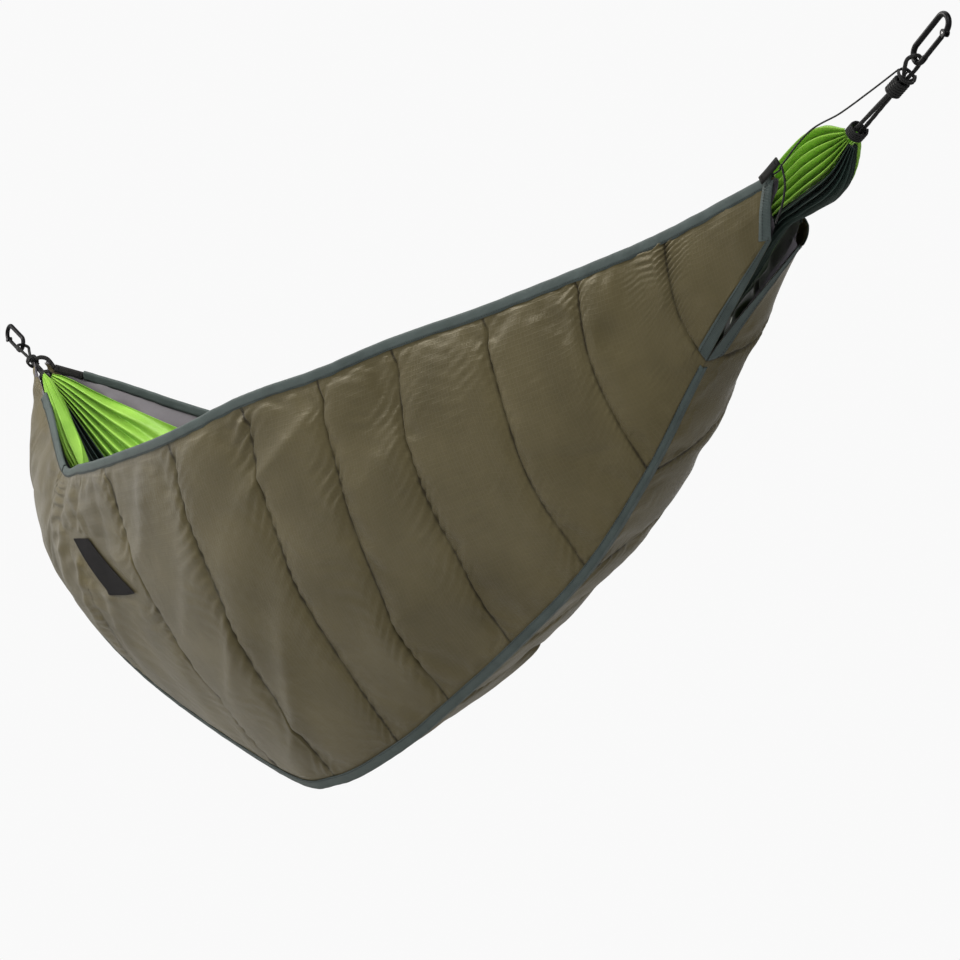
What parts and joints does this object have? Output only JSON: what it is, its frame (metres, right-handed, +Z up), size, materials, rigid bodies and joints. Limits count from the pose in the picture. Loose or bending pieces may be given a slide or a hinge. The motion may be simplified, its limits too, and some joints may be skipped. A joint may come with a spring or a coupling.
{
  "type": "camp quilt",
  "caption": "Quilted underquilt with bound edges, shaped like a boat, hung on shock cords round a gathered-end hammock with a carabiner and a hook at its ends.",
  "frame": {"origin": "inside of the foot hook's outer end, where the tree strap bears", "axes": "+X along the hammock from the foot hook to the head carabiner, -Y the near side, +Z up"},
  "size_m": [2.9714, 0.648, 0.926],
  "materials": {
    "shell": "glossy quilted nylon",
    "insulation": "lofted fibre",
    "lining": "satin nylon",
    "binding": "woven tape",
    "patch": "woven patch",
    "webbing": "webbing",
    "shock_cord": "braided sheath",
    "rope": "braided rope",
    "hammock_lime": "satin nylon",
    "hammock_dark": "satin nylon",
    "carabiner": "satin black coat",
    "steel": "plain"
  },
  "bodies": {
    "clips": {"head_carabiner": "carabiner", "head_gate_pin": "steel", "foot_hook": "carabiner", "foot_gate_pin": "steel"},
    "head_gate": {"head_gate": "carabiner", "head_gate_spring": "steel"},
    "foot_gate": {"foot_gate": "carabiner", "foot_gate_spring": "steel"},
    "sling": {"near_shell": "shell", "far_shell": "shell", "near_insulation": "insulation", "far_insulation": "insulation", "near_lining": "lining", "far_lining": "lining", "near_rim_tape": "binding", "far_rim_tape": "binding", "foot_end_tape": "binding", "near_head_tape": "binding", "far_head_tape": "binding", "keel_tape": "binding", "near_mouth_tape": "binding", "far_mouth_tape": "binding", "label_patch": "patch", "foot_corner_tab": "webbing", "foot_corner_strap": "webbing", "near_head_tab": "webbing", "far_head_tab": "webbing", "near_shock_cord": "shock_cord", "far_shock_cord": "shock_cord", "head_gather_cord": "shock_cord", "hammock_near_panel": "hammock_lime", "hammock_middle_panel": "hammock_dark", "hammock_far_panel": "hammock_lime", "head_whipping": "rope", "foot_whipping": "rope", "head_rope": "rope", "head_knot": "rope", "head_cord_hitch": "shock_cord", "foot_cord": "rope", "foot_knot": "rope"}
  },
  "joints": [
    {"name": "sling_rock", "type": "hinge", "parent": "clips", "child": "sling", "pos_m": [0.0682, 0, -0.0378], "axis": [1, 0, 0], "range_deg": [-20, 20]},
    {"name": "head_gate_open", "type": "hinge", "parent": "clips", "child": "head_gate", "pos_m": [2.9499, 0, -0.01669], "axis": [0, 1, 0], "range_deg": [0, 20], "stiffness_Nm_per_rad": 0.05, "springref_deg": -11.46},
    {"name": "foot_gate_open", "type": "hinge", "parent": "clips", "child": "foot_gate", "pos_m": [0.0033, 0, -0.01669], "axis": [0, -1, 0], "range_deg": [0, 20], "stiffness_Nm_per_rad": 0.05, "springref_deg": -11.46}
  ]
}
